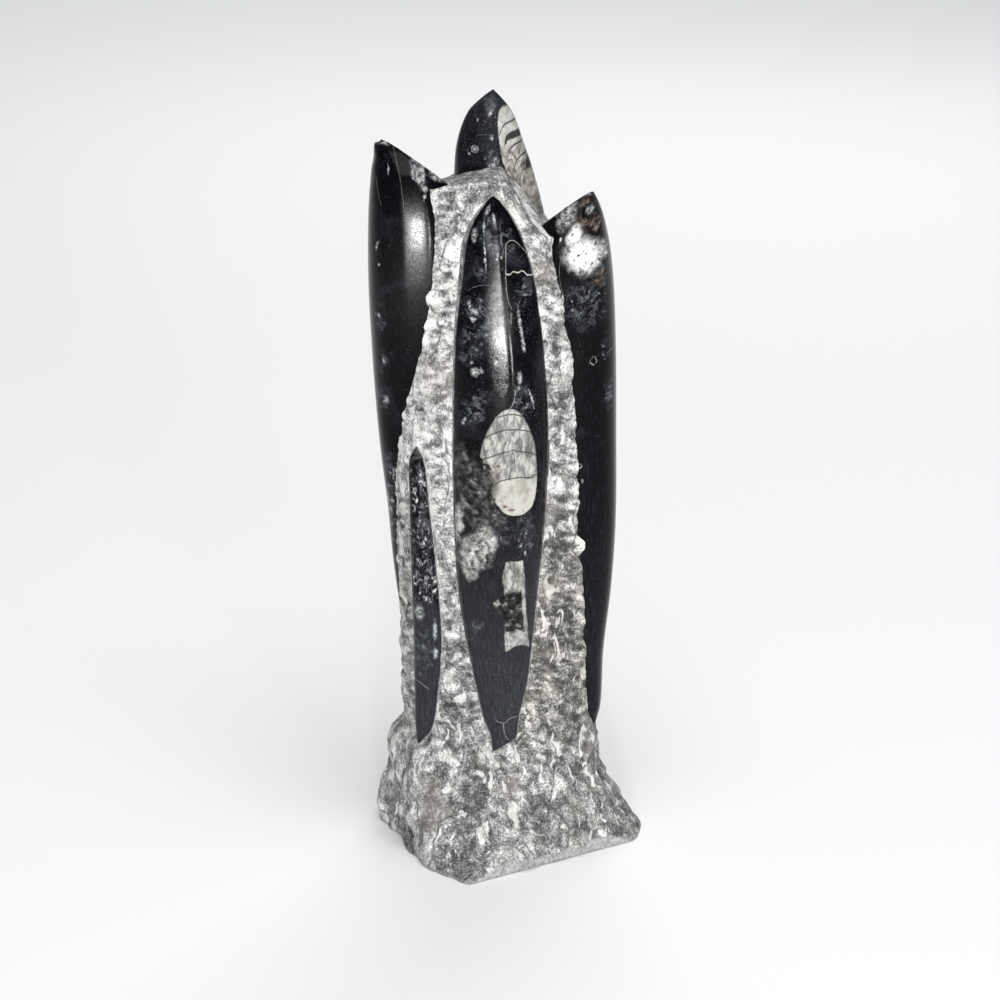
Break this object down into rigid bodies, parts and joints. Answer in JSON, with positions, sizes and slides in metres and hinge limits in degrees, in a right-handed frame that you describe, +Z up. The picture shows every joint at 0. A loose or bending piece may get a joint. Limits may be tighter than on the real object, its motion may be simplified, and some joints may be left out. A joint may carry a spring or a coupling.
{
  "type": "orthoceras fossil tower",
  "caption": "Free-standing carved tower of black fossil limestone: pointed polished lobes rise out of rough-hewn stone above a flared foot that is sawn flat underneath",
  "frame": {"origin": "middle of the outer box's underside, on the sawn base", "axes": "+Z up the tower, +X to the right and -Y towards the viewer when the widest polished lobe faces the front"},
  "size_m": [0.1059, 0.0999, 0.2935],
  "materials": {
    "fossil_limestone": "polished near-black limestone with white calcite fossils on the lobes, grey and white rough-hewn stone between them"
  },
  "bodies": {
    "root": {"orthoceras_stone": "fossil_limestone"}
  },
  "joints": []
}
